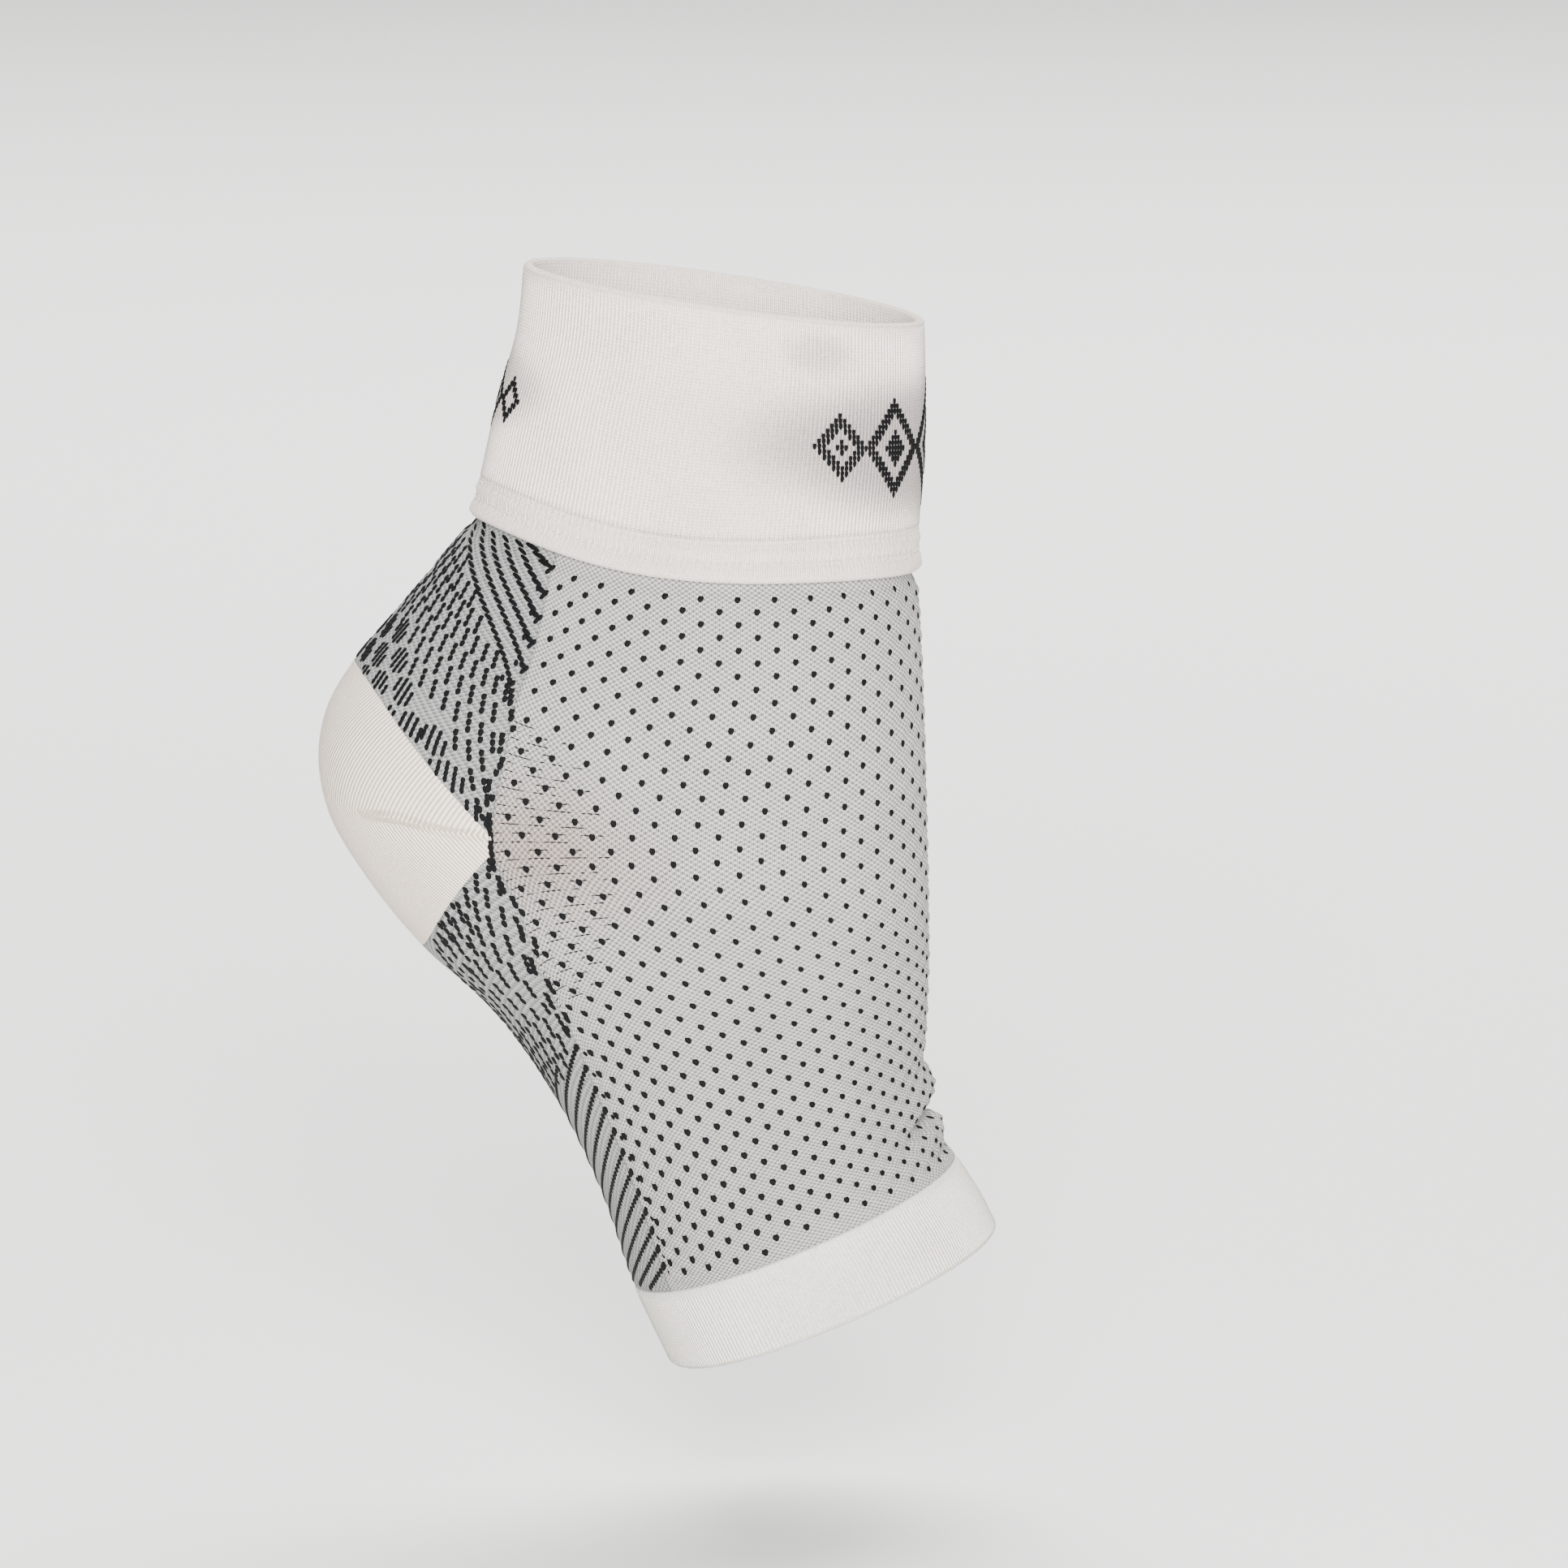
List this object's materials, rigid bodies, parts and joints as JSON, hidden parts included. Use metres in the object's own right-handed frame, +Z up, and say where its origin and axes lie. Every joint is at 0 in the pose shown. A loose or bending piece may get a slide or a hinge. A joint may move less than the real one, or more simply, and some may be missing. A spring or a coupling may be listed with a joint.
{
  "type": "arch support sleeve",
  "caption": "Knitted open-toe arch support sleeve with a rib cuff, sewn hem, dotted body, heel pocket, firm panels and a rib toe band, in the form it has when worn.",
  "frame": {"origin": "the centre of the wearer's ankle, inside the open hollow", "axes": "+X towards the toes, +Z up the leg, +Y across the foot; the sleeve is the same on both sides of Y = 0"},
  "size_m": [0.132, 0.0808, 0.2153],
  "materials": {
    "cuff_rib": "soft white rib knit",
    "dotted_knit": "thin pale grey knit with black dots",
    "firm_knit": "thin grey knit with dense black floats",
    "heel_knit": "cream plain knit",
    "toe_rib": "white rib knit"
  },
  "bodies": {
    "root": {"ankle_cuff": "cuff_rib", "cuff_hem": "cuff_rib", "instep_body": "dotted_knit", "achilles_panel": "firm_knit", "heel_pocket": "heel_knit", "arch_panel": "firm_knit", "toe_band": "toe_rib"}
  },
  "joints": []
}
